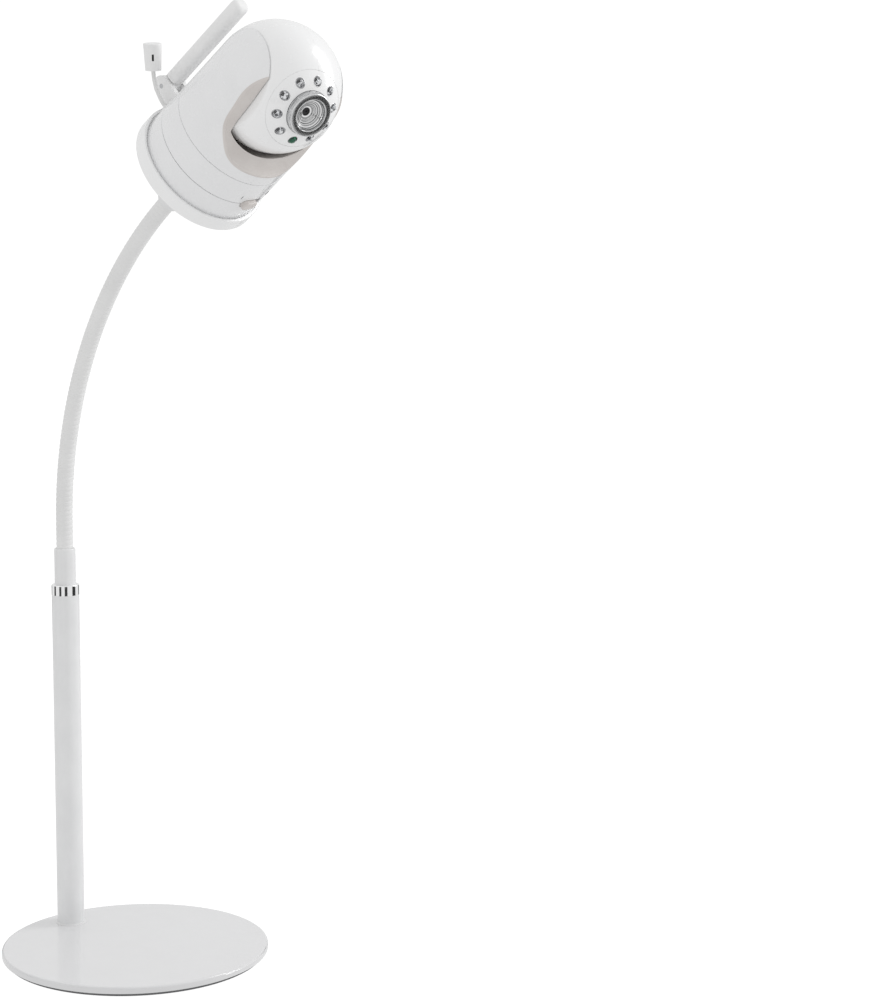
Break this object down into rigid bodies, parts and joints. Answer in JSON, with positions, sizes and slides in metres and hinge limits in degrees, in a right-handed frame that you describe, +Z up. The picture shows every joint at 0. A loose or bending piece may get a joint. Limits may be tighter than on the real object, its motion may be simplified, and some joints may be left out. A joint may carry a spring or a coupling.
{
  "type": "baby monitor camera",
  "caption": "Pan and tilt nursery camera with round lights around its lens, a folding antenna and a plug-in temperature sensor, on a gooseneck table stand with a round base.",
  "frame": {"origin": "centre of the round base on the surface it stands on", "axes": "+Z up, the pole stands at +Y and the gooseneck bends the camera towards -Y, +X is to the right of a person who faces the same way as +Y"},
  "size_m": [0.172, 0.2637, 0.6055],
  "materials": {
    "white_plate": "gloss",
    "steel_weight": "painted",
    "dark_rubber": "matt",
    "white_pole": "semi-gloss powder coat",
    "white_gooseneck": "satin coating over a steel coil",
    "white_ferrule": "satin",
    "zinc_steel": "zinc plated",
    "chrome": "polished",
    "brass": "machined",
    "nickel": "satin nickel",
    "white_gloss": "moulded gloss",
    "white_satin": "fine moulded texture",
    "white_nylon": "as moulded",
    "white_cable": "soft vinyl",
    "beige_satin": "satin moulded",
    "black_plastic": "as moulded",
    "green_board": "solder mask",
    "clear_led": "clear epoxy",
    "green_led": "tinted epoxy",
    "silver_baffle": "bright turned",
    "silver_ring": "bright turned",
    "lens_glass": "coated"
  },
  "bodies": {
    "stand": {"base_cover": "white_plate", "base_weight": "steel_weight", "foot_pad": "dark_rubber", "pole_gasket": "dark_rubber", "pole": "white_pole", "pole_insert": "zinc_steel", "pole_bolt": "zinc_steel", "chrome_collar": "chrome", "lower_ferrule": "white_ferrule", "gooseneck_0": "white_gooseneck"},
    "neck_1": {"gooseneck_1": "white_gooseneck"},
    "neck_2": {"gooseneck_2": "white_gooseneck"},
    "neck_3": {"gooseneck_3": "white_gooseneck"},
    "neck_4": {"gooseneck_4": "white_gooseneck"},
    "neck_5": {"gooseneck_5": "white_gooseneck"},
    "neck_6": {"gooseneck_6": "white_gooseneck"},
    "neck_7": {"gooseneck_7": "white_gooseneck"},
    "camera_base": {"gooseneck_8": "white_gooseneck", "upper_ferrule": "white_ferrule", "tripod_stud": "brass", "tripod_boss": "nickel", "rim_cup": "white_gloss", "lower_housing": "white_gloss", "upper_housing": "white_gloss", "housing_screws": "zinc_steel", "main_board": "green_board", "pan_motor": "zinc_steel", "speaker": "black_plastic", "power_jack": "black_plastic", "switch_block": "black_plastic", "antenna_foot": "white_satin", "antenna_pin": "zinc_steel", "sensor_gland": "white_satin", "sensor_lead": "white_cable", "sensor_capsule": "white_satin", "thermistor": "black_plastic"},
    "lock_nut": {"lock_nut": "nickel"},
    "slider": {"switch_slider": "beige_satin"},
    "antenna": {"antenna": "white_satin"},
    "pan_pinion": {"pan_pinion": "white_nylon"},
    "yoke": {"yoke_left": "white_gloss", "yoke_right": "white_gloss", "trim_collar": "beige_satin", "pan_gear": "white_nylon", "yoke_screws": "zinc_steel", "tilt_motor": "zinc_steel"},
    "tilt_pinion": {"tilt_pinion": "white_nylon"},
    "head": {"head_left": "white_gloss", "head_right": "white_gloss", "face_disc": "white_gloss", "infrared_leds": "clear_led", "status_led": "green_led", "led_board": "green_board", "lens_barrel": "black_plastic", "lens_cone": "silver_baffle", "lens_glass": "lens_glass", "sensor_board": "green_board", "axle_pins": "white_nylon", "tilt_gear": "white_nylon"},
    "lens_ring": {"lens_ring": "silver_ring"}
  },
  "joints": [
    {"name": "neck_bend_1", "type": "hinge", "parent": "stand", "child": "neck_1", "pos_m": [0, 0.0663, 0.27749], "axis": [1, 0, 0], "range_deg": [-22, 11]},
    {"name": "neck_swing_1", "type": "hinge", "parent": "neck_1", "child": "neck_2", "pos_m": [0, 0.06429, 0.31], "axis": [0, 0.9923, 0.1237], "range_deg": [-16, 16]},
    {"name": "neck_bend_2", "type": "hinge", "parent": "neck_2", "child": "neck_3", "pos_m": [0, 0.05826, 0.342], "axis": [1, 0, 0], "range_deg": [-22, 11]},
    {"name": "neck_swing_2", "type": "hinge", "parent": "neck_3", "child": "neck_4", "pos_m": [0, 0.04828, 0.373], "axis": [0, 0.931, 0.3651], "range_deg": [-16, 16]},
    {"name": "neck_bend_3", "type": "hinge", "parent": "neck_4", "child": "neck_5", "pos_m": [0, 0.03452, 0.40252], "axis": [1, 0, 0], "range_deg": [-22, 11]},
    {"name": "neck_swing_3", "type": "hinge", "parent": "neck_5", "child": "neck_6", "pos_m": [0, 0.01719, 0.43009], "axis": [0, 0.8118, 0.5839], "range_deg": [-16, 16]},
    {"name": "neck_bend_4", "type": "hinge", "parent": "neck_6", "child": "neck_7", "pos_m": [0, -0.00343, 0.45529], "axis": [1, 0, 0], "range_deg": [-22, 11]},
    {"name": "neck_swing_4", "type": "hinge", "parent": "neck_7", "child": "camera_base", "pos_m": [0, -0.02704, 0.47773], "axis": [0, 0.6424, 0.7664], "range_deg": [-16, 16]},
    {"name": "lock_nut_turn", "type": "hinge", "parent": "camera_base", "child": "lock_nut", "pos_m": [0, -0.05825, 0.50074], "axis": [0, -0.8202, 0.5721], "range_deg": [0, 270]},
    {"name": "power_switch", "type": "slide", "parent": "camera_base", "child": "slider", "axis": [0.988, 0.0885, 0.1269], "range_m": [0, 0.0048]},
    {"name": "antenna_fold", "type": "hinge", "parent": "camera_base", "child": "antenna", "pos_m": [-0.00797, -0.05087, 0.55763], "axis": [-0.988, -0.0885, -0.1269], "range_deg": [0, 90]},
    {"name": "pan", "type": "hinge", "parent": "camera_base", "child": "yoke", "pos_m": [0, -0.13567, 0.55475], "axis": [0, -0.8202, 0.5721], "range_deg": [-114.2, 155.8]},
    {"name": "pan_drive", "type": "hinge", "parent": "camera_base", "child": "pan_pinion", "pos_m": [-0.01738, -0.10349, 0.51191], "axis": [0, -0.8202, 0.5721], "range_deg": [-640, 640]},
    {"name": "tilt", "type": "hinge", "parent": "yoke", "child": "head", "pos_m": [0, -0.13567, 0.55475], "axis": [-0.9785, 0.118, 0.1691], "range_deg": [-46.4, 63.6]},
    {"name": "tilt_drive", "type": "hinge", "parent": "yoke", "child": "tilt_pinion", "pos_m": [-0.03268, -0.1213, 0.55312], "axis": [-0.9785, 0.118, 0.1691], "range_deg": [-165, 125]},
    {"name": "lens_ring_turn", "type": "hinge", "parent": "head", "child": "lens_ring", "pos_m": [-0.00689, -0.16921, 0.53827], "axis": [-0.1814, -0.8826, -0.4338], "range_deg": [0, 360]}
  ],
  "couplings": [
    {"joint": "neck_bend_2", "follows": "neck_bend_1", "ratio": 1},
    {"joint": "neck_swing_2", "follows": "neck_swing_1", "ratio": 1},
    {"joint": "neck_bend_3", "follows": "neck_bend_1", "ratio": 1},
    {"joint": "neck_swing_3", "follows": "neck_swing_1", "ratio": 1},
    {"joint": "neck_bend_4", "follows": "neck_bend_1", "ratio": 1},
    {"joint": "neck_swing_4", "follows": "neck_swing_1", "ratio": 1},
    {"joint": "pan_drive", "follows": "pan", "ratio": -4},
    {"joint": "tilt_drive", "follows": "tilt", "ratio": -2.5}
  ]
}
